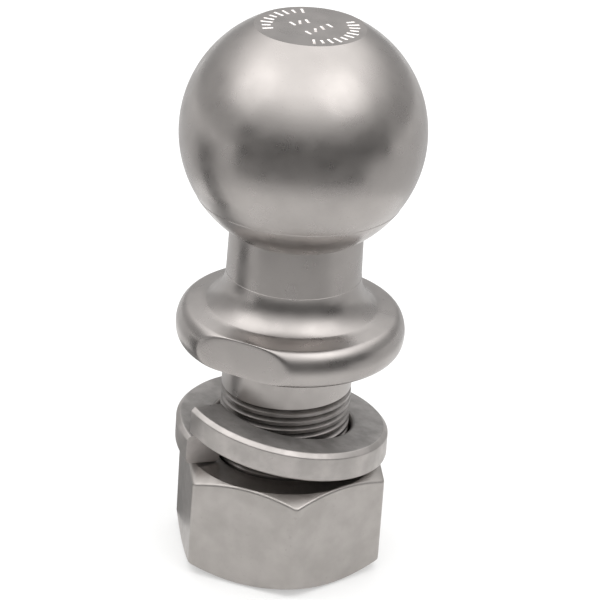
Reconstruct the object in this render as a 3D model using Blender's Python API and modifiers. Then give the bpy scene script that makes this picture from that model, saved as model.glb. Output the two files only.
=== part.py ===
"""A gooseneck hitch ball with its spring lock washer and hex nut.

Three loose pieces share one upright axis, the Z axis:
  ball_stud    the ball, neck, flange and threaded shank, in one piece of steel
  lock_washer  a split spring washer that lies on the nut
  hex_nut      the nut, on the shank's thread
The nut's underside is at z = 0, the ball is on top, and lengths are in metres.
"""

import math

import bmesh
import bpy
from mathutils import Matrix, Vector

MM = 0.001
INCH = 0.0254
GAP = 0.25 * MM  # left between two pieces that touch

# The ball and neck
BALL_RADIUS = 2.3125 / 2 * INCH
BALL_TOP = 26.25 * MM  # from the ball's centre up to its flat top
BALL_ABOVE_SEAT = 54.4 * MM
NECK_RADIUS = 16.05 * MM
NECK_BASE_RADIUS = 16.35 * MM
NECK_STEP = 0.2 * MM  # a ledge round the foot of the neck
FLARE_RADIUS = 8 * MM  # the hollow curve from the neck to the flange

# The flange, whose underside is the seat that clamps the hitch plate
SEAT_Z = 57.15 * MM
FLANGE_RADIUS = 27.8 * MM
FLANGE_HEIGHT = 9.2 * MM
FLANGE_WIDEST = 3.9 * MM  # how far above the seat the flange is widest
RIM_TOP_RADIUS = 24.7 * MM  # the rounded rim starts here
RIM_SEAT_RADIUS = 25.9 * MM
ACROSS_FLATS = 50.1 * MM

# The shank and its right-hand thread, 1 1/4 inch with 12 threads to the inch
SHANK_RADIUS = 1.25 / 2 * INCH
SHANK_LENGTH = 2.125 * INCH
SHANK_CHAMFER = 1.6 * MM
PITCH = INCH / 12
CREST_WIDTH = PITCH / 8
THREAD_DEPTH = 1.2 * MM
THREAD_TOP = SEAT_Z - 10.9 * MM  # where the highest groove ends
THREAD_TURN = math.radians(112.5)  # direction in which it ends
FLANK_SLOPE = math.tan(math.radians(30))

# The nut
NUT_ACROSS_FLATS = 47.4 * MM  # 1 7/8 inch, less the usual tolerance
NUT_HEIGHT = 27 * MM
NUT_TOP_CIRCLE = 23.4 * MM  # the chamfers leave these circles flat
NUT_BASE_CIRCLE = 22.4 * MM
NUT_CHAMFER_SLOPE = math.tan(math.radians(30))
NUT_CORNER_ANGLE = math.radians(-54.8)  # direction of one of its corners
NUT_CORNER_CUT = 1.2 * MM  # how far from each corner its rounding starts
NUT_MOUTH_RADIUS = 16.6 * MM  # of the countersinks at both ends of the thread
THREAD_CLEARANCE = 0.3 * MM  # radially between the crest of one thread and the root of the other
FLANK_CLEARANCE = 0.2 * MM  # along the axis between the flanks of the two threads
CUT = 0.2 * MM  # how far a thread cutter reaches past the surface that it cuts

# The lock washer, a left-hand coil of a little under one turn, is bent so that it lies on its lower
# end and on the side opposite
WASHER_INNER_RADIUS = 17 * MM
WASHER_OUTER_RADIUS = 26.1 * MM
WASHER_THICKNESS = 7.55 * MM
WASHER_EDGE_RADIUS = 1.1 * MM
WASHER_RISE_PER_TURN = 8.8 * MM
WASHER_SWEEP = math.radians(357)
WASHER_UPPER_END = math.radians(-122)  # direction of the raised end
WASHER_SLOPE = math.tan(math.radians(6.45))
WASHER_LOW_SIDE = math.radians(31)
WASHER_MIDDLE = Vector((-0.1 * MM, -0.7 * MM, NUT_HEIGHT + 6.58 * MM))  # it lies loose round the shank

# How finely round shapes are divided
TURNED_STEPS = 36
THREAD_STEPS = 24
BALL_SEGMENTS = 18
CURVE_SEGMENTS = 5

STUD_STEEL = (0.56, 0.545, 0.53)
WASHER_STEEL = (0.52, 0.515, 0.50)
NUT_STEEL = (0.60, 0.59, 0.575)


def clear_scene():
    for obj in list(bpy.data.objects):
        bpy.data.objects.remove(obj, do_unlink=True)


def new_collection(name):
    collection = bpy.data.collections.new(name)
    bpy.context.scene.collection.children.link(collection)
    return collection


def steel(name, colour, roughness):
    material = bpy.data.materials.new(name)
    material.use_nodes = True
    shader = material.node_tree.nodes["Principled BSDF"]
    shader.inputs["Base Color"].default_value = (*colour, 1)
    shader.inputs["Roughness"].default_value = roughness
    shader.inputs["Metallic"].default_value = 1
    return material


def add_object(name, mesh, collection):
    obj = bpy.data.objects.new(name, mesh)
    collection.objects.link(obj)
    return obj


def add_helper(name, mesh, collection):
    """An object that only shapes another one."""
    obj = add_object(name, mesh, collection)
    obj.hide_render = True
    obj.display_type = "WIRE"
    return obj


def boolean(obj, operation, other):
    modifier = obj.modifiers.new(other.name, "BOOLEAN")
    modifier.operation = operation
    modifier.solver = "EXACT"
    modifier.object = other


def finish(obj, material):
    """Smooth shading with sharp edges kept, and the piece's material."""
    obj.data.materials.append(material)
    obj.data.shade_smooth()
    obj.data.set_sharp_from_angle(angle=math.radians(30))


def arc(centre_r, centre_z, radius_r, radius_z, start, end, segments):
    """(r, z) points on an ellipse's arc, from one angle to another above the horizontal."""
    angles = [start + (end - start) * i / segments for i in range(segments + 1)]
    return [(centre_r + radius_r * math.cos(a), centre_z + radius_z * math.sin(a)) for a in angles]


def profile_mesh(name, profile, closed=False):
    """A chain of (r, z) points in the XZ plane, ready for a Screw modifier."""
    points = [(r, 0, z) for r, z in profile]
    edges = [(i, i + 1) for i in range(len(points) - 1)]
    if closed:
        edges.append((len(points) - 1, 0))
    mesh = bpy.data.meshes.new(name)
    mesh.from_pydata(points, edges, [])
    return mesh


def screw(obj, steps, angle=2 * math.pi, rise=0, turns=1):
    modifier = obj.modifiers.new("turn", "SCREW")
    modifier.axis = "Z"
    modifier.angle = angle
    modifier.screw_offset = rise
    modifier.iterations = turns
    modifier.steps = steps
    modifier.render_steps = steps
    modifier.use_merge_vertices = True
    modifier.merge_threshold = 0.00001
    modifier.use_smooth_shade = True


def swept_bmesh(name, profile, closed, steps, **sweep):
    """The faces that a Screw modifier makes from a profile, as a bmesh."""
    guide = bpy.data.objects.new(name, profile_mesh(name, profile, closed))
    bpy.context.scene.collection.objects.link(guide)
    screw(guide, steps, **sweep)
    mesh = bpy.data.meshes.new_from_object(guide.evaluated_get(bpy.context.evaluated_depsgraph_get()))
    bpy.data.objects.remove(guide, do_unlink=True)
    shape = bmesh.new()
    shape.from_mesh(mesh)
    bpy.data.meshes.remove(mesh)
    return shape


def mesh_of(shape, name):
    bmesh.ops.recalc_face_normals(shape, faces=shape.faces)
    mesh = bpy.data.meshes.new(name)
    shape.to_mesh(mesh)
    shape.free()
    return mesh


def groove_mesh(name, half_width, radii, start_z, turns):
    """A cutter for a thread's groove. half_width gives half of the groove's width at a radius."""
    inner, outer = radii
    profile = [
        (outer, start_z + half_width(outer)),
        (outer, start_z - half_width(outer)),
        (inner, start_z - half_width(inner)),
        (inner, start_z + half_width(inner)),
    ]
    shape = swept_bmesh(name, profile, True, THREAD_STEPS, rise=PITCH, turns=turns)
    bmesh.ops.holes_fill(shape, edges=[e for e in shape.edges if e.is_boundary], sides=0)
    return mesh_of(shape, name)


def ridge_half_width(radius):
    """Half of the width of the shank's thread ridge, which widens inwards from its crest."""
    return CREST_WIDTH / 2 + (SHANK_RADIUS - radius) * FLANK_SLOPE


def stud_profile():
    """The outline from the top of the ball down to the end of the shank."""
    centre = SEAT_Z + BALL_ABOVE_SEAT
    flange_top = SEAT_Z + FLANGE_HEIGHT
    widest = SEAT_Z + FLANGE_WIDEST
    flare_radius = NECK_BASE_RADIUS + NECK_STEP + FLARE_RADIUS
    flare_z = flange_top + FLARE_RADIUS
    top_angle = math.asin(BALL_TOP / BALL_RADIUS)
    neck_angle = -math.acos(NECK_RADIUS / BALL_RADIUS)
    points = [(0, centre + BALL_TOP)]
    points += arc(0, centre, BALL_RADIUS, BALL_RADIUS, top_angle, 0, BALL_SEGMENTS // 2)
    points += arc(0, centre, BALL_RADIUS, BALL_RADIUS, 0, neck_angle, BALL_SEGMENTS // 2)[1:]
    points += [(NECK_BASE_RADIUS, flare_z + NECK_STEP)]
    flare = (flare_radius, flare_z, FLARE_RADIUS, FLARE_RADIUS)
    points += arc(*flare, math.pi, 1.5 * math.pi, CURVE_SEGMENTS)
    rim_width = FLANGE_RADIUS - RIM_TOP_RADIUS
    points += arc(RIM_TOP_RADIUS, widest, rim_width, flange_top - widest, math.pi / 2, 0, CURVE_SEGMENTS)
    seat_width = FLANGE_RADIUS - RIM_SEAT_RADIUS
    points += arc(RIM_SEAT_RADIUS, widest, seat_width, FLANGE_WIDEST, 0, -math.pi / 2, CURVE_SEGMENTS)[1:]
    end = SEAT_Z - SHANK_LENGTH
    points += [(SHANK_RADIUS, SEAT_Z), (SHANK_RADIUS, end + SHANK_CHAMFER)]
    points += [(SHANK_RADIUS - SHANK_CHAMFER, end), (0, end)]
    return points


def flat_cutter_mesh():
    """Two blocks that leave the wrench flats on the flange, facing -Y and +Y."""
    shape = bmesh.new()
    depth = FLANGE_RADIUS
    height = 1.4 * FLANGE_HEIGHT
    for side in (-1, 1):
        centre = Vector((0, side * (ACROSS_FLATS / 2 + depth / 2), SEAT_Z + FLANGE_HEIGHT / 2))
        size = Matrix.Diagonal((2 * FLANGE_RADIUS, depth, height, 1))
        bmesh.ops.create_cube(shape, size=1, matrix=Matrix.Translation(centre) @ size)
    return mesh_of(shape, "wrench_flats")


def make_ball_stud(collection, cutters):
    stud = add_object("ball_stud", profile_mesh("ball_stud", stud_profile()), collection)
    screw(stud, TURNED_STEPS)
    boolean(stud, "DIFFERENCE", add_helper("wrench_flats", flat_cutter_mesh(), cutters))
    turns = math.ceil((SHANK_LENGTH + THREAD_TOP - SEAT_Z) / PITCH) + 1
    groove = groove_mesh(
        "shank_groove",
        lambda radius: PITCH / 2 - ridge_half_width(radius),
        (SHANK_RADIUS - THREAD_DEPTH, SHANK_RADIUS + CUT),
        THREAD_TOP - PITCH * turns,
        turns,
    )
    cutter = add_helper("shank_groove", groove, cutters)
    cutter.rotation_euler.z = THREAD_TURN
    boolean(stud, "DIFFERENCE", cutter)
    finish(stud, steel("stud_steel", STUD_STEEL, 0.3))


def make_lock_washer(collection):
    half = WASHER_THICKNESS / 2
    edge = WASHER_EDGE_RADIUS
    inner = WASHER_INNER_RADIUS + edge
    outer = WASHER_OUTER_RADIUS - edge
    drop = WASHER_RISE_PER_TURN * WASHER_SWEEP / (2 * math.pi)
    profile = []
    for r, z, start in (
        (outer, half - edge, math.pi / 2),
        (outer, edge - half, 0),
        (inner, edge - half, -math.pi / 2),
        (inner, half - edge, -math.pi),
    ):
        profile += arc(r, z + drop / 2, edge, edge, start, start - math.pi / 2, 3)
    shape = swept_bmesh("lock_washer", profile, True, TURNED_STEPS, angle=WASHER_SWEEP, rise=-drop)
    bmesh.ops.holes_fill(shape, edges=[e for e in shape.edges if e.is_boundary], sides=0)
    bend = Matrix.Identity(4)
    bend[2][0] = -WASHER_SLOPE * math.cos(WASHER_LOW_SIDE)
    bend[2][1] = -WASHER_SLOPE * math.sin(WASHER_LOW_SIDE)
    turn = Matrix.Rotation(WASHER_UPPER_END, 4, "Z")
    bmesh.ops.transform(shape, matrix=bend @ turn, verts=shape.verts)
    shape.normal_update()
    washer = add_object("lock_washer", mesh_of(shape, "lock_washer"), collection)
    washer.location = WASHER_MIDDLE
    finish(washer, steel("washer_steel", WASHER_STEEL, 0.35))


def nut_chamfer_profile():
    """A turned blank that cuts the hexagon's corners back at both faces."""
    reach = NUT_ACROSS_FLATS * 0.6
    return [
        (0, NUT_HEIGHT),
        (NUT_TOP_CIRCLE, NUT_HEIGHT),
        (reach, NUT_HEIGHT - (reach - NUT_TOP_CIRCLE) * NUT_CHAMFER_SLOPE),
        (reach, (reach - NUT_BASE_CIRCLE) * NUT_CHAMFER_SLOPE),
        (NUT_BASE_CIRCLE, 0),
        (0, 0),
    ]


def bore_profile():
    """The hole through the nut, with a countersink at each end."""
    bore = SHANK_RADIUS - THREAD_DEPTH + THREAD_CLEARANCE
    depth = NUT_MOUTH_RADIUS - bore
    return [
        (0, NUT_HEIGHT + GAP),
        (NUT_MOUTH_RADIUS + GAP, NUT_HEIGHT + GAP),
        (bore, NUT_HEIGHT - depth),
        (bore, depth),
        (NUT_MOUTH_RADIUS + GAP, -GAP),
        (0, -GAP),
    ]


def make_hex_nut(collection, cutters):
    shape = bmesh.new()
    first_corner = math.pi / 2  # where create_cone puts it
    turn = Matrix.Rotation(NUT_CORNER_ANGLE - first_corner, 4, "Z")
    bmesh.ops.create_cone(
        shape,
        cap_ends=True,
        segments=6,
        radius1=NUT_ACROSS_FLATS / math.sqrt(3),
        radius2=NUT_ACROSS_FLATS / math.sqrt(3),
        depth=NUT_HEIGHT + 4 * GAP,
        matrix=Matrix.Translation((0, 0, NUT_HEIGHT / 2)) @ turn,
    )
    upright = [e for e in shape.edges if abs(e.verts[0].co.z - e.verts[1].co.z) > GAP]
    bmesh.ops.bevel(
        shape, geom=upright, offset=NUT_CORNER_CUT, segments=3, profile=0.5, affect="EDGES"
    )
    nut = add_object("hex_nut", mesh_of(shape, "hex_nut"), collection)
    blank = add_helper("nut_blank", profile_mesh("nut_blank", nut_chamfer_profile()), cutters)
    screw(blank, TURNED_STEPS)
    boolean(nut, "INTERSECT", blank)
    bore = add_helper("nut_bore", profile_mesh("nut_bore", bore_profile()), cutters)
    screw(bore, TURNED_STEPS)
    boolean(nut, "DIFFERENCE", bore)
    pitches_down = math.ceil(THREAD_TOP / PITCH) + 1.5
    groove = groove_mesh(
        "nut_groove",
        lambda radius: ridge_half_width(radius) + FLANK_CLEARANCE,
        (SHANK_RADIUS - THREAD_DEPTH + THREAD_CLEARANCE - CUT, SHANK_RADIUS + THREAD_CLEARANCE),
        THREAD_TOP - PITCH * pitches_down,
        math.ceil(NUT_HEIGHT / PITCH) + 3,
    )
    cutter = add_helper("nut_groove", groove, cutters)
    cutter.rotation_euler.z = THREAD_TURN
    boolean(nut, "DIFFERENCE", cutter)
    finish(nut, steel("nut_steel", NUT_STEEL, 0.4))


def main():
    clear_scene()
    pieces = new_collection("gooseneck_hitch_ball")
    cutters = new_collection("cutters")
    make_ball_stud(pieces, cutters)
    make_lock_washer(pieces)
    make_hex_nut(pieces, cutters)


main()
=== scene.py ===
"""The looks of the gooseneck hitch ball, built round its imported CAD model.

Lengths are in metres, with the nut's underside at z = 0 and the ball on top.
"""

import math

import bmesh
import bpy
from mathutils import Matrix, Vector


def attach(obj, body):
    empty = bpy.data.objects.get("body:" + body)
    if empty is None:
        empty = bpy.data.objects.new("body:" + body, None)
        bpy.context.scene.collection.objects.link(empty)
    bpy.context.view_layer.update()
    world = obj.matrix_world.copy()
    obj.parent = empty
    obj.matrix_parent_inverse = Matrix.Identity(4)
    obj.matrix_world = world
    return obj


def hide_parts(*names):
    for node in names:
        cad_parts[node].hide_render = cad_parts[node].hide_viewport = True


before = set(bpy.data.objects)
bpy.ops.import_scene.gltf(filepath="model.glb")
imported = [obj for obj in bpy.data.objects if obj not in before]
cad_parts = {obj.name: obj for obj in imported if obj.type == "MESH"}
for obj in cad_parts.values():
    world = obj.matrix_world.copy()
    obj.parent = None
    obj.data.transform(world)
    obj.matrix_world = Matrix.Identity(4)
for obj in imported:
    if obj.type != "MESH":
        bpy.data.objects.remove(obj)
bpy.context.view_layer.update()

MM = 0.001
INCH = 0.0254

# The ball, neck and flange
SEAT_Z = 57.15 * MM  # the flange's underside
BALL_Z = SEAT_Z + 54.4 * MM
BALL_RADIUS = 2.3125 / 2 * INCH
BALL_TOP = 26.25 * MM  # from the ball's centre up to its flat top
SEAM_ANGLE = math.radians(-33)  # a faint turned ledge round the lower half of the ball
SEAM_HEIGHT = 0.1 * MM
SEAM_SPAN = math.radians(0.4)  # over which the ledge rises
NECK_RADIUS = 16.05 * MM
NECK_BASE_RADIUS = 16.35 * MM
NECK_STEP = 0.06 * MM  # a ledge round the foot of the neck
FLARE_RADIUS = 9.6 * MM  # the hollow curve from the neck to the flange
FLARE_SPAN = math.radians(58)  # it ends steeper than the flange's top
FLANGE_RADIUS = 27.8 * MM
FLANGE_HEIGHT = 9.2 * MM
FLANGE_SLOPE = math.radians(12)  # the flange's top falls this much towards its rim
FLANGE_WIDEST = 3.9 * MM  # how far above the seat the flange is widest
RIM_TOP_RADIUS = 24.7 * MM  # the middle of the rim's rounding
RIM_SEAT_RADIUS = 25.9 * MM
ACROSS_FLATS = 50.1 * MM
FLATS_TOP = SEAT_Z + 12.88 * MM  # above everything that the flats cut
FLAT_EDGE = 0.35 * MM  # how softly the flats meet the rim

# The shank and its right-hand thread
SHANK_RADIUS = 1.25 / 2 * INCH
SHANK_END_Z = SEAT_Z - 2.125 * INCH
SHANK_CHAMFER = 1.6 * MM
PITCH = INCH / 12
CREST_WIDTH = PITCH * 0.4
THREAD_DEPTH = 1.2 * MM
THREAD_TOP = SEAT_Z - 10.9 * MM  # where the highest groove ends
THREAD_TURN = math.radians(112.5)  # direction in which it ends
THREAD_TURNS = 23  # enough to reach below the shank's end
THREAD_FADE_TURNS = 0.12  # over which the highest groove fades out
FLANK_SLOPE = math.tan(math.radians(30))

# The nut
NUT_ACROSS_FLATS = 47.4 * MM
NUT_HEIGHT = 27 * MM
NUT_TOP_CIRCLE = 23.4 * MM  # the chamfers leave these circles flat
NUT_BASE_CIRCLE = 22.4 * MM
NUT_CHAMFER_SLOPE = math.tan(math.radians(30))
NUT_CORNER_ANGLE = math.radians(-54.8)  # direction of one of its corners
NUT_CORNER_RADIUS = 1.6 * MM
NUT_EDGE_RADIUS = 1 * MM  # where the chamfers meet the sides
NUT_TOP_EDGE_RADIUS = 0.2 * MM
NUT_BASE_EDGE_RADIUS = 0.5 * MM
NUT_MOUTH_RADIUS = 16.6 * MM  # of the countersinks at both ends of the thread
NUT_THREAD_START = THREAD_TOP - 25.5 * PITCH  # a whole number of pitches and a half, below the nut
NUT_THREAD_TURNS = 17
THREAD_CLEARANCE = 0.3 * MM  # radially between the crest of one thread and the root of the other
FLANK_CLEARANCE = 0.2 * MM  # along the axis between the flanks of the two threads

# The lock washer, a left-hand coil of a little under one turn
WASHER_INNER_RADIUS = 17 * MM
WASHER_OUTER_RADIUS = 26.1 * MM
WASHER_THICKNESS = 7.55 * MM
WASHER_CHAMFER = 1.1 * MM  # along its outer top edge
# from the inner top edge, outwards and round
WASHER_EDGE_RADII = (1.2 * MM, 0.8 * MM, 0.6 * MM, 1.4 * MM, 1 * MM)
WASHER_RISE_PER_TURN = 8.8 * MM
WASHER_SWEEP = math.radians(357)
WASHER_UPPER_END = math.radians(-122)  # direction of the raised end
WASHER_SLOPE = math.tan(math.radians(6.45))  # it's bent down towards its low side
WASHER_LOW_SIDE = math.radians(31)
WASHER_MIDDLE = Vector((-0.1 * MM, -0.7 * MM, NUT_HEIGHT + 6.58 * MM))  # it lies loose round the shank

# The stamped marks on the ball's flat top: strokes in two arcs, and in two short rows between them
MARK_CIRCLE = 10.3 * MM
MARKED_RADIUS = 12.09 * MM  # of the circle that holds them all
MARK_LENGTH = 2.9 * MM
MARK_LENGTHS = (MARK_LENGTH, 0.72 * MARK_LENGTH, 0.9 * MARK_LENGTH)  # by turns
MARK_WIDTH = 1.3 * MM
MARK_DEPTH = 0.25 * MM
MARK_ARCS = ((-168, -72, 9), (6, 116, 11))  # first and last direction in degrees, and how many
# start and step in millimetres to the right and backwards, and how many
MARK_ROWS = (((-4.2, 1.0), (1.7, 1.1), 3), ((-0.4, -4.4), (1.6, 1.9), 4))
MARK_LEANS = (125, 95, 110)  # of the strokes in a row, by turns, in degrees

# How finely round shapes are divided
COLUMNS = 240  # round a turned shape
WASHER_COLUMNS = 300
BALL_TOP_ROWS = 60
BALL_SIDE_ROWS = 36
RIM_ROWS = 40
CURVE_ROWS = 24
NECK_ROWS = 6
SLOPE_ROWS = 3
THREAD_ROWS = 12  # across one pitch
CORNER_STEPS = 10
FLAT_STEPS = 16
NUT_EDGE_STEPS = 6
WASHER_EDGE_STEPS = 8
SHARP_ANGLE = math.radians(25)  # edges that bend more than this stay crisp

# The camera has a long lens, slightly above, with the object leaning a little to the right
CAMERA_AZIMUTH = math.radians(25.2)
CAMERA_PITCH = math.radians(25.1)
CAMERA_ROLL = math.radians(-3.95)
CAMERA_DISTANCE = 0.714
SENSOR_WIDTH = 36
LENS = 182.1
BALL_RIGHT = 0.8 * MM  # from the picture's centre to the ball's
BALL_UP = 39.7 * MM

# The studio. The sky gives the light at each elevation, in degrees from the horizon to overhead
BRIGHTEST = 2.2
SKY = (
    (0, 0.5),
    (12, 0.55),
    (20, 0.6),
    (26, 0.7),
    (34, 1.15),
    (44, 1.7),
    (56, 2.1),
    (75, 2.1),
    (90, 1.85),
)
LIGHT_DISTANCE = 1.2
LIGHT_SIZE = 0.8
CARD_STEPS = 24
FLOOR_SIZE = 3
FLOOR_GREY = (0.5, 0.5, 0.497)
FLOOR_GLOW = (1, 1, 0.995)
FLOOR_GLOW_STRENGTH = 0.4
PAPER_ROUGHNESS = 0.9


def arc(centre_r, centre_z, radius_r, radius_z, start, end, segments):
    """(r, z) points on an ellipse's arc, from one angle to another above the horizontal."""
    angles = [start + (end - start) * i / segments for i in range(segments + 1)]
    return [(centre_r + radius_r * math.cos(a), centre_z + radius_z * math.sin(a)) for a in angles]


def line(start, end, segments):
    """(r, z) points on a straight line, without its ends."""
    shares = [i / segments for i in range(1, segments)]
    return [(start[0] + (end[0] - start[0]) * s, start[1] + (end[1] - start[1]) * s) for s in shares]


def rounded(corners, radii, steps):
    """A chain of points with its corners rounded. A radius of 0 keeps a corner sharp."""
    points = []
    for i, (corner, radius) in enumerate(zip(corners, radii)):
        corner = Vector(corner)
        if not radius:
            points.append(tuple(corner))
            continue
        before = (Vector(corners[i - 1]) - corner).normalized()
        after = (Vector(corners[(i + 1) % len(corners)]) - corner).normalized()
        half = before.angle(after) / 2
        centre = corner + (before + after).normalized() * (radius / math.sin(half))
        reach = radius / math.tan(half)
        first = corner + before * reach - centre
        last = corner + after * reach - centre
        span = math.pi - 2 * half
        for step in range(steps + 1):
            share = step / steps
            weights = (math.sin((1 - share) * span), math.sin(share * span))
            points.append(tuple(centre + (first * weights[0] + last * weights[1]) / math.sin(span)))
    return points


def add_object(name, shape):
    bmesh.ops.recalc_face_normals(shape, faces=shape.faces)
    mesh = bpy.data.meshes.new(name)
    shape.to_mesh(mesh)
    shape.free()
    obj = bpy.data.objects.new(name, mesh)
    bpy.context.scene.collection.objects.link(obj)
    return obj


def even_angles(start=0.0):
    return [start + 2 * math.pi * column / COLUMNS for column in range(COLUMNS)]


def join_rings(shape, rings):
    """Faces between rings of vertices, which are closed. Corners that coincide count once."""
    for upper, lower in zip(rings, rings[1:]):
        for column in range(len(upper)):
            after = (column + 1) % len(upper)
            corners = []
            for vertex in (upper[column], lower[column], lower[after], upper[after]):
                if vertex not in corners:
                    corners.append(vertex)
            shape.faces.new(corners)


def turned(shape, profile, limit):
    """Adds a turned surface to a bmesh. limit(r, z, angle) is the radius that it really reaches."""
    rings = []
    for r, z in profile:
        if r < 1e-7:
            rings.append([shape.verts.new((0, 0, z))] * COLUMNS)
            continue
        ring = []
        for angle in even_angles():
            reach = limit(r, z, angle)
            ring.append(shape.verts.new((reach * math.cos(angle), reach * math.sin(angle), z)))
        rings.append(ring)
    join_rings(shape, rings)


def flange_reach(radius, z, angle):
    """The flange's radius once its two wrench flats, which face -Y and +Y, are cut."""
    facing = abs(math.sin(angle))
    if z > FLATS_TOP or radius <= SHANK_RADIUS or facing < 0.5:
        return radius
    flat = ACROSS_FLATS / 2 / facing
    return (radius + flat - math.sqrt((radius - flat) ** 2 + FLAT_EDGE**2)) / 2


def head_profile():
    """The outline from the top of the ball down to the flange's seat and the collar."""
    widest = SEAT_Z + FLANGE_WIDEST
    rim_width = FLANGE_RADIUS - RIM_TOP_RADIUS
    rim_height = FLANGE_HEIGHT - FLANGE_WIDEST
    rim_start = math.atan(rim_height / rim_width / math.tan(FLANGE_SLOPE))
    rim = arc(RIM_TOP_RADIUS, widest, rim_width, rim_height, rim_start, 0, RIM_ROWS)
    flare_r = NECK_BASE_RADIUS + NECK_STEP + FLARE_RADIUS
    slope_width = rim[0][0] - flare_r + FLARE_RADIUS * math.cos(FLARE_SPAN)
    slope_top = rim[0][1] + slope_width * math.tan(FLANGE_SLOPE)
    flare_z = slope_top + FLARE_RADIUS * math.sin(FLARE_SPAN)
    top_angle = math.asin(BALL_TOP / BALL_RADIUS)
    neck_angle = -math.acos(NECK_RADIUS / BALL_RADIUS)
    seat_width = FLANGE_RADIUS - RIM_SEAT_RADIUS
    points = [(0, BALL_Z + BALL_TOP)]
    points += arc(0, BALL_Z, BALL_RADIUS, BALL_RADIUS, top_angle, 0, BALL_TOP_ROWS)
    points += arc(0, BALL_Z, BALL_RADIUS, BALL_RADIUS, 0, SEAM_ANGLE, BALL_SIDE_ROWS)[1:]
    below = BALL_RADIUS + SEAM_HEIGHT
    points += arc(0, BALL_Z, below, below, SEAM_ANGLE - SEAM_SPAN, neck_angle, CURVE_ROWS)
    neck_top = points[-1]
    neck_foot = (NECK_BASE_RADIUS, flare_z + NECK_STEP)
    points += line(neck_top, neck_foot, NECK_ROWS)
    points += [neck_foot, (NECK_BASE_RADIUS + NECK_STEP / 2, flare_z + NECK_STEP * 0.3)]
    flare_end = math.pi + FLARE_SPAN
    points += arc(flare_r, flare_z, FLARE_RADIUS, FLARE_RADIUS, math.pi, flare_end, CURVE_ROWS)
    points += line(points[-1], rim[0], SLOPE_ROWS)
    points += rim
    points += arc(RIM_SEAT_RADIUS, widest, seat_width, FLANGE_WIDEST, 0, -math.pi / 2, CURVE_ROWS)[1:]
    points += [(SHANK_RADIUS, SEAT_Z), (SHANK_RADIUS, THREAD_TOP + PITCH)]
    return points


def add_thread(shape, angles, radius_at, start_z, turns, lowest, highest):
    """Adds a thread's surface to a bmesh, as upright lines of vertices at the given angles.

    radius_at(phase, turn, z) gives its radius, where phase 0 is the middle of the shank's crest.
    """
    rows = THREAD_ROWS * (turns + 2)
    lines = []
    for angle in [*angles, angles[0] + 2 * math.pi]:
        share = (angle - THREAD_TURN) / (2 * math.pi)
        upright = []
        for row in range(rows + 1):
            z = start_z + PITCH * (row / THREAD_ROWS + share)
            z = min(max(z, lowest), highest)
            turn = row // THREAD_ROWS + share
            radius = radius_at(row / THREAD_ROWS % 1, turn, z)
            upright.append(shape.verts.new((radius * math.cos(angle), radius * math.sin(angle), z)))
        lines.append(upright)
    for left, right in zip(lines, lines[1:]):
        for row in range(rows):
            shape.faces.new((left[row], right[row], right[row + 1], left[row + 1]))


def shank_radius_at(phase, turn, z):
    beside_crest = max(0, min(phase, 1 - phase) * PITCH - CREST_WIDTH / 2)
    depth = min(beside_crest / FLANK_SLOPE, THREAD_DEPTH)
    fade = min(1, max(0, (THREAD_TURNS - turn) / THREAD_FADE_TURNS))
    return min(SHANK_RADIUS - depth * fade, SHANK_RADIUS - SHANK_CHAMFER + z - SHANK_END_Z)


def nut_radius_at(phase, turn, z):
    beside_crest = max(0, min(phase, 1 - phase) * PITCH - CREST_WIDTH / 2 - FLANK_CLEARANCE)
    ridge = min(beside_crest / FLANK_SLOPE, THREAD_DEPTH)
    to_face = min(z, NUT_HEIGHT - z)
    return max(SHANK_RADIUS + THREAD_CLEARANCE - ridge, NUT_MOUTH_RADIUS - to_face)


def wedge(shape, place, direction, length, width):
    """Adds a V-shaped cutter, for one stroke stamped in the ball's flat top."""
    along = Vector((math.cos(direction), math.sin(direction), 0))
    across = Vector((-along.y, along.x, 0))
    above = Vector((0, 0, MARK_DEPTH))
    middle = Vector((place[0], place[1], BALL_Z + BALL_TOP))
    ends = []
    for side in (-1, 1):
        end = middle + along * (side * length / 2)
        keel = shape.verts.new(end - above - along * (side * MARK_DEPTH))
        left = shape.verts.new(end + above - across * width + along * (side * MARK_DEPTH))
        right = shape.verts.new(end + above + across * width + along * (side * MARK_DEPTH))
        ends.append((keel, left, right))
    near, far = ends
    shape.faces.new(near)
    shape.faces.new(far)
    for i in range(3):
        j = (i + 1) % 3
        shape.faces.new((near[i], near[j], far[j], far[i]))


def stamped_marks():
    """Cutters for two arcs of radial strokes and two short rows between them."""
    shape = bmesh.new()
    toward_camera = CAMERA_AZIMUTH - math.pi / 2
    for first, last, count in MARK_ARCS:
        for i in range(count):
            angle = toward_camera + math.radians(first + (last - first) * i / (count - 1))
            middle = (MARK_CIRCLE * math.cos(angle), MARK_CIRCLE * math.sin(angle))
            wedge(shape, middle, angle, MARK_LENGTHS[i % len(MARK_LENGTHS)], MARK_WIDTH / 2)
    right = Vector((math.cos(CAMERA_AZIMUTH), math.sin(CAMERA_AZIMUTH)))
    back = Vector((-right.y, right.x))
    for start, step, count in MARK_ROWS:
        for i in range(count):
            middle = right * (start[0] + step[0] * i) + back * (start[1] + step[1] * i)
            lean = math.radians(MARK_LEANS[i % len(MARK_LEANS)])
            wedge(shape, middle * MM, CAMERA_AZIMUTH + lean, MARK_LENGTH * 0.8, MARK_WIDTH / 2)
    return add_object("marks", shape)


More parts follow.
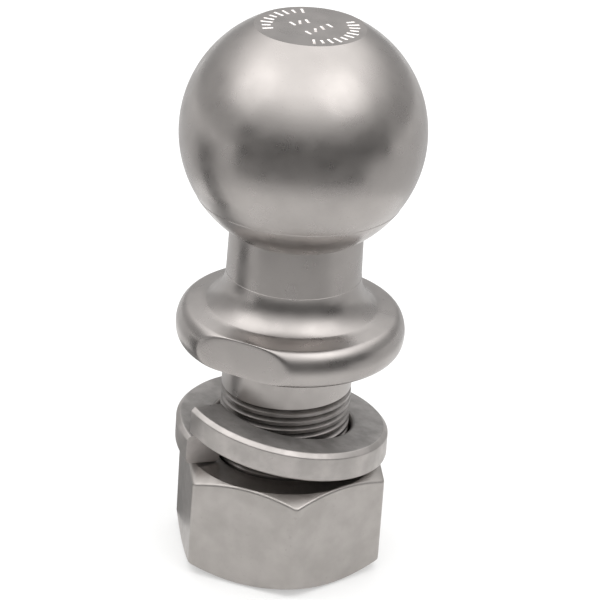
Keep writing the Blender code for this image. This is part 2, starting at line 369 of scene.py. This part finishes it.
def make_ball_stud():
    shape = bmesh.new()
    turned(shape, head_profile(), flange_reach)
    start_z = THREAD_TOP - PITCH * (THREAD_TURNS + 0.5)
    angles = even_angles(THREAD_TURN)
    highest = THREAD_TOP + PITCH
    add_thread(shape, angles, shank_radius_at, start_z, THREAD_TURNS, SHANK_END_Z, highest)
    bmesh.ops.remove_doubles(shape, verts=shape.verts, dist=0.001 * MM)
    bmesh.ops.holes_fill(shape, edges=[e for e in shape.edges if e.is_boundary], sides=0)
    stud = add_object("hitch_ball", shape)
    marks = stamped_marks()
    modifier = stud.modifiers.new("marks", "BOOLEAN")
    modifier.operation = "DIFFERENCE"
    modifier.solver = "EXACT"
    modifier.object = marks
    evaluated = stud.evaluated_get(bpy.context.evaluated_depsgraph_get())
    stud.data = bpy.data.meshes.new_from_object(evaluated)
    stud.modifiers.clear()
    bpy.data.objects.remove(marks, do_unlink=True)
    return stud


def make_lock_washer():
    half = WASHER_THICKNESS / 2
    drop = WASHER_RISE_PER_TURN * WASHER_SWEEP / (2 * math.pi)
    corners = [
        (WASHER_INNER_RADIUS, half),
        (WASHER_OUTER_RADIUS - WASHER_CHAMFER, half),
        (WASHER_OUTER_RADIUS, half - WASHER_CHAMFER),
        (WASHER_OUTER_RADIUS, -half),
        (WASHER_INNER_RADIUS, -half),
    ]
    section = rounded(corners, WASHER_EDGE_RADII, WASHER_EDGE_STEPS)
    shape = bmesh.new()
    rings = []
    for column in range(WASHER_COLUMNS + 1):
        share = column / WASHER_COLUMNS
        x = math.cos(WASHER_SWEEP * share)
        y = math.sin(WASHER_SWEEP * share)
        lift = drop * (0.5 - share)
        rings.append([shape.verts.new((r * x, r * y, z + lift)) for r, z in section])
    join_rings(shape, rings)
    shape.faces.new(rings[0])
    shape.faces.new(rings[-1])
    washer = add_object("split_washer", shape)
    bend = Matrix.Identity(4)
    bend[2][0] = -WASHER_SLOPE * math.cos(WASHER_LOW_SIDE)
    bend[2][1] = -WASHER_SLOPE * math.sin(WASHER_LOW_SIDE)
    turn = Matrix.Rotation(WASHER_UPPER_END, 4, "Z")
    washer.data.transform(Matrix.Translation(WASHER_MIDDLE) @ bend @ turn)
    return washer


def hexagon():
    """(angle, radius) round a hexagon with rounded corners, close together at the corners."""
    reach = NUT_ACROSS_FLATS / math.sqrt(3)
    corners = []
    for i in range(6):
        angle = NUT_CORNER_ANGLE + i * math.pi / 3
        corners.append((reach * math.cos(angle), reach * math.sin(angle)))
    arcs = rounded(corners, [NUT_CORNER_RADIUS] * 6, CORNER_STEPS)
    points = []
    for i, point in enumerate(arcs):
        points.append(point)
        if i % (CORNER_STEPS + 1) == CORNER_STEPS:
            points += line(point, arcs[(i + 1) % len(arcs)], FLAT_STEPS)
    polar = [(math.atan2(y, x), math.hypot(x, y)) for x, y in points]
    start = polar[0][0]
    return [(start + (angle - start) % (2 * math.pi), radius) for angle, radius in polar]


def nut_section(reach):
    """The outline from the upper mouth out over the corner and down to the lower mouth."""
    corners = [
        (NUT_MOUTH_RADIUS, NUT_HEIGHT),
        (NUT_TOP_CIRCLE, NUT_HEIGHT),
        (reach, NUT_HEIGHT - (reach - NUT_TOP_CIRCLE) * NUT_CHAMFER_SLOPE),
        (reach, (reach - NUT_BASE_CIRCLE) * NUT_CHAMFER_SLOPE),
        (NUT_BASE_CIRCLE, 0),
        (NUT_MOUTH_RADIUS, 0),
    ]
    edge = NUT_EDGE_RADIUS
    radii = [0, NUT_TOP_EDGE_RADIUS, edge, edge, NUT_BASE_EDGE_RADIUS, 0]
    return rounded(corners, radii, NUT_EDGE_STEPS)


def make_hex_nut():
    shape = bmesh.new()
    outline = hexagon()
    sections = [nut_section(radius) for _, radius in outline]
    rings = []
    for row in range(len(sections[0])):
        ring = []
        for (angle, _), section in zip(outline, sections):
            r, z = section[row]
            ring.append(shape.verts.new((r * math.cos(angle), r * math.sin(angle), z)))
        rings.append(ring)
    join_rings(shape, rings)
    angles = [angle for angle, _ in outline]
    add_thread(shape, angles, nut_radius_at, NUT_THREAD_START, NUT_THREAD_TURNS, 0, NUT_HEIGHT)
    bmesh.ops.remove_doubles(shape, verts=shape.verts, dist=0.001 * MM)
    return add_object("nut", shape)


def paint_marks(stud):
    """The second material on the faces of the stamped marks."""
    top = BALL_Z + BALL_TOP
    for face in stud.data.polygons:
        stamped = top - 2 * MARK_DEPTH < face.center.z < top - 0.01 * MM
        if stamped and face.center.xy.length < MARKED_RADIUS:
            face.material_index = 1


def paint_thread(stud):
    """The third material, darker steel painted as shade, on everything below the thread's highest groove.
    """
    for face in stud.data.polygons:
        x, y, z = face.center
        share = (math.atan2(y, x) - THREAD_TURN) / (2 * math.pi) % 1
        if z < THREAD_TOP - PITCH * (1 - share) + (PITCH - CREST_WIDTH) / 2:
            face.material_index = 2


def paint_washer(washer):
    """The second material, painted light, where the coil is cut, and the third, painted light, on its
    top.
    """
    for face in washer.data.polygons:
        if len(face.vertices) > 4:
            face.material_index = 1
        elif face.normal.z > 0.9:
            face.material_index = 2


def smooth(obj):
    obj.data.shade_smooth()
    obj.data.set_sharp_from_angle(angle=SHARP_ANGLE)


def new_material(name, colour, roughness, metallic):
    material = bpy.data.materials.new(name)
    material.use_nodes = True
    shader = material.node_tree.nodes["Principled BSDF"]
    shader.inputs["Base Color"].default_value = (*colour, 1)
    shader.inputs["Roughness"].default_value = roughness
    shader.inputs["Metallic"].default_value = metallic
    return material, shader


def noise(tree, stretch, scale, detail):
    """A noise texture in the object's own space, stretched by a factor along each axis."""
    nodes = tree.nodes
    place = nodes.new("ShaderNodeTexCoord")
    mapping = nodes.new("ShaderNodeMapping")
    mapping.inputs["Scale"].default_value = stretch
    texture = nodes.new("ShaderNodeTexNoise")
    texture.inputs["Scale"].default_value = scale
    texture.inputs["Detail"].default_value = detail
    tree.links.new(place.outputs["Object"], mapping.inputs["Vector"])
    tree.links.new(mapping.outputs["Vector"], texture.inputs["Vector"])
    return texture.outputs["Fac"]


def remap(tree, value, low, high, to_low, to_high):
    node = tree.nodes.new("ShaderNodeMapRange")
    node.interpolation_type = "SMOOTHSTEP"
    node.inputs["From Min"].default_value = low
    node.inputs["From Max"].default_value = high
    node.inputs["To Min"].default_value = to_low
    node.inputs["To Max"].default_value = to_high
    tree.links.new(value, node.inputs["Value"])
    return node.outputs["Result"]


def multiply(tree, one, other):
    node = tree.nodes.new("ShaderNodeMath")
    node.operation = "MULTIPLY"
    tree.links.new(one, node.inputs[0])
    tree.links.new(other, node.inputs[1])
    return node.outputs["Value"]


def bump(tree, height, strength, distance, normal=None):
    node = tree.nodes.new("ShaderNodeBump")
    node.inputs["Strength"].default_value = strength
    node.inputs["Distance"].default_value = distance
    tree.links.new(height, node.inputs["Height"])
    if normal:
        tree.links.new(normal, node.inputs["Normal"])
    return node.outputs["Normal"]


def shade_steel(name, dark, light, roughness, lines, mottle, speck, metallic=1.0):
    """Steel with a mottled colour, small dark specks, uneven polish and fine turned lines.

    Lines, mottle and speck say how fine these are, as scales of a noise texture.
    """
    material, shader = new_material(name, light, roughness, metallic)
    tree = material.node_tree
    clouds = remap(tree, noise(tree, (1, 1, 1), mottle, 5), 0.3, 0.7, 0, 1)
    specks = remap(tree, noise(tree, (1, 1, 1), speck, 1), 0.24, 0.3, 0, 1)
    mix = tree.nodes.new("ShaderNodeMix")
    mix.data_type = "RGBA"
    mix.inputs["A"].default_value = (*dark, 1)
    mix.inputs["B"].default_value = (*light, 1)
    tree.links.new(multiply(tree, clouds, specks), mix.inputs["Factor"])
    tree.links.new(mix.outputs["Result"], shader.inputs["Base Color"])

    patches = noise(tree, (1, 1, 1), mottle * 3, 3)
    polish = remap(tree, patches, 0.3, 0.7, roughness - 0.04, roughness + 0.05)
    tree.links.new(polish, shader.inputs["Roughness"])

    turned_lines = noise(tree, (0.02, 0.02, 1), lines, 3)
    grain = bump(tree, noise(tree, (1, 1, 1), speck * 1.5, 2), 0.1, 0.00005)
    tree.links.new(bump(tree, turned_lines, 0.12, 0.00004, grain), shader.inputs["Normal"])
    return material


def ball_steel():
    dark = (0.35, 0.328, 0.315)
    light = (0.395, 0.37, 0.355)
    return shade_steel("ball_steel", dark, light, 0.3, lines=900, mottle=60, speck=1500)


def stamped_steel():
    """Steel in the stamped marks, paler and rougher than the face round them."""
    dark = (0.8, 0.76, 0.74)
    light = (0.9, 0.86, 0.84)
    return shade_steel("stamped_steel", dark, light, 0.55, lines=900, mottle=300, speck=1500)


# Painted shade: the thread is coloured darker than the ball's steel, for the shade it lies in under the
# flange.
def thread_painted_shade():
    dark = (0.25, 0.235, 0.225)
    light = (0.33, 0.31, 0.3)
    return shade_steel("thread_painted_shade", dark, light, 0.4, lines=900, mottle=200, speck=1500)


def washer_steel():
    dark = (0.36, 0.34, 0.325)
    light = (0.44, 0.412, 0.396)
    return shade_steel("washer_steel", dark, light, 0.42, lines=1200, mottle=200, speck=1500)


def cut_face_painted_light():
    """Steel painted paler where the washer's coil is cut: painted light, lifting the cut faces out of the
    upper coil's shade.
    """
    dark = (0.55, 0.52, 0.5)
    light = (0.65, 0.61, 0.59)
    return shade_steel("cut_face_painted_light", dark, light, 0.55, lines=900, mottle=200, speck=1500)


def washer_top_painted_light():
    """Painted light on the washer's top: a copy of the steel that is only partly metallic, so that it
    takes up more of the light from above.
    """
    dark = (0.21, 0.2, 0.192)
    light = (0.31, 0.295, 0.285)
    return shade_steel("washer_top_painted_light", dark, light, 0.5, lines=900, mottle=200, speck=1500, metallic=0.55)


def nut_steel():
    dark = (0.362, 0.341, 0.323)
    light = (0.41, 0.385, 0.368)
    return shade_steel("nut_steel", dark, light, 0.38, lines=500, mottle=160, speck=1000)


def add_piece(obj, body, materials):
    obj.data.materials.clear()
    for material in materials:
        obj.data.materials.append(material)
    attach(obj, body)
    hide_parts(body)
    smooth(obj)


def add_ball_stud():
    stud = make_ball_stud()
    add_piece(stud, "ball_stud", [ball_steel(), stamped_steel(), thread_painted_shade()])
    paint_marks(stud)
    paint_thread(stud)


def add_lock_washer():
    washer = make_lock_washer()
    add_piece(washer, "lock_washer", [washer_steel(), cut_face_painted_light(), washer_top_painted_light()])
    paint_washer(washer)


def add_hex_nut():
    add_piece(make_hex_nut(), "hex_nut", [nut_steel()])


def add_floor():
    """A pale floor with a little light of its own, like a light table, so shadows stay faint."""
    shape = bmesh.new()
    bmesh.ops.create_grid(shape, x_segments=1, y_segments=1, size=FLOOR_SIZE)
    floor = add_object("floor", shape)
    material, shader = new_material("paper", FLOOR_GREY, PAPER_ROUGHNESS, 0)
    shader.inputs["Emission Color"].default_value = (*FLOOR_GLOW, 1)
    shader.inputs["Emission Strength"].default_value = FLOOR_GLOW_STRENGTH
    floor.data.materials.append(material)


def add_card(name, azimuths, near, far, grey):
    """A card that only shows in the steel, as dark surroundings do in a studio.

    It spans from one azimuth to another, in degrees to the right of the camera, and from one
    (distance, height) point to another.
    """
    first, last = azimuths
    shape = bmesh.new()
    rings = []
    for distance, height in (near, far):
        ring = []
        for step in range(CARD_STEPS + 1):
            azimuth = first + (last - first) * step / CARD_STEPS
            angle = CAMERA_AZIMUTH - math.pi / 2 + math.radians(azimuth)
            x = distance * math.cos(angle)
            y = distance * math.sin(angle)
            ring.append(shape.verts.new((x, y, height)))
        rings.append(ring)
    inner, outer = rings
    for i in range(CARD_STEPS):
        shape.faces.new((inner[i], outer[i], outer[i + 1], inner[i + 1]))
    card = add_object(name, shape)
    material, _ = new_material(name, (grey, grey, grey), PAPER_ROUGHNESS, 0)
    card.data.materials.append(material)
    card.visible_camera = False
    card.visible_shadow = False
    card.visible_diffuse = False


def add_cards():
    add_card("grey_surround", (-180, 180), (0.155, 0.001), (0.9, 0.001), 0.5)
    add_card("dark_front", (-60, 60), (0.22, 0.002), (0.6, 0.002), 0.14)
    add_card("dark_front_upright", (-60, 85), (0.6, 0), (0.6, 0.27), 0.14)
    add_card("dark_left", (-106, -82), (0.08, 0.003), (0.6, 0.003), 0.12)
    # painted shadow: a dark sheet on the floor round the nut's back left, seen only in the steel, for the
    # floor's shade there
    add_card("shade_back_left", (-170, -92), (0.0275, 0.002), (0.1, 0.002), 0.24)


def add_camera():
    data = bpy.data.cameras.new("camera")
    data.sensor_width = SENSOR_WIDTH
    data.lens = LENS
    camera = bpy.data.objects.new("camera", data)
    bpy.context.scene.collection.objects.link(camera)
    right = Vector((math.cos(CAMERA_AZIMUTH), math.sin(CAMERA_AZIMUTH), 0))
    level = Vector((-right.y, right.x, 0))
    forward = level * math.cos(CAMERA_PITCH) - Vector((0, 0, math.sin(CAMERA_PITCH)))
    up = right.cross(forward)
    turned_right = right * math.cos(CAMERA_ROLL) - up * math.sin(CAMERA_ROLL)
    turned_up = up * math.cos(CAMERA_ROLL) + right * math.sin(CAMERA_ROLL)
    centre = Vector((0, 0, BALL_Z))
    place = centre - forward * CAMERA_DISTANCE - turned_right * BALL_RIGHT - turned_up * BALL_UP
    rotation = Matrix((turned_right, turned_up, -forward)).transposed().to_4x4()
    camera.matrix_world = Matrix.Translation(place) @ rotation
    bpy.context.scene.camera = camera


def add_light(name, azimuth, elevation, power):
    """A square soft light that faces the ball. Its azimuth is from the camera, to the right."""
    angle = CAMERA_AZIMUTH - math.pi / 2 + math.radians(azimuth)
    level = math.cos(math.radians(elevation))
    rise = math.sin(math.radians(elevation))
    outward = Vector((level * math.cos(angle), level * math.sin(angle), rise))
    data = bpy.data.lights.new(name, "AREA")
    data.size = LIGHT_SIZE
    data.energy = power
    light = bpy.data.objects.new(name, data)
    light.location = Vector((0, 0, BALL_Z)) + outward * LIGHT_DISTANCE
    light.rotation_euler = outward.to_track_quat("Z", "Y").to_euler()
    bpy.context.scene.collection.objects.link(light)


def add_world():
    """Soft studio light, dim at the horizon and bright overhead."""
    world = bpy.data.worlds.new("studio")
    world.use_nodes = True
    tree = world.node_tree
    place = tree.nodes.new("ShaderNodeTexCoord")
    split = tree.nodes.new("ShaderNodeSeparateXYZ")
    ramp = tree.nodes.new("ShaderNodeValToRGB")
    while len(ramp.color_ramp.elements) < len(SKY):
        ramp.color_ramp.elements.new(0.5)
    for element, (elevation, level) in zip(ramp.color_ramp.elements, SKY):
        share = level / BRIGHTEST
        element.position = math.sin(math.radians(elevation))
        element.color = (share, share, share, 1)
    tree.links.new(place.outputs["Generated"], split.inputs["Vector"])
    tree.links.new(split.outputs["Z"], ramp.inputs["Fac"])
    background = tree.nodes["Background"]
    tree.links.new(ramp.outputs["Color"], background.inputs["Color"])
    background.inputs["Strength"].default_value = BRIGHTEST
    bpy.context.scene.world = world


def main():
    add_ball_stud()
    add_lock_washer()
    add_hex_nut()
    add_floor()
    add_cards()
    add_world()
    add_light("left_lobe", -73, 42, 1.6)
    add_light("right_lobe", 52, 50, 1.5)
    add_camera()
    bpy.context.scene.view_settings.view_transform = "Standard"


main()
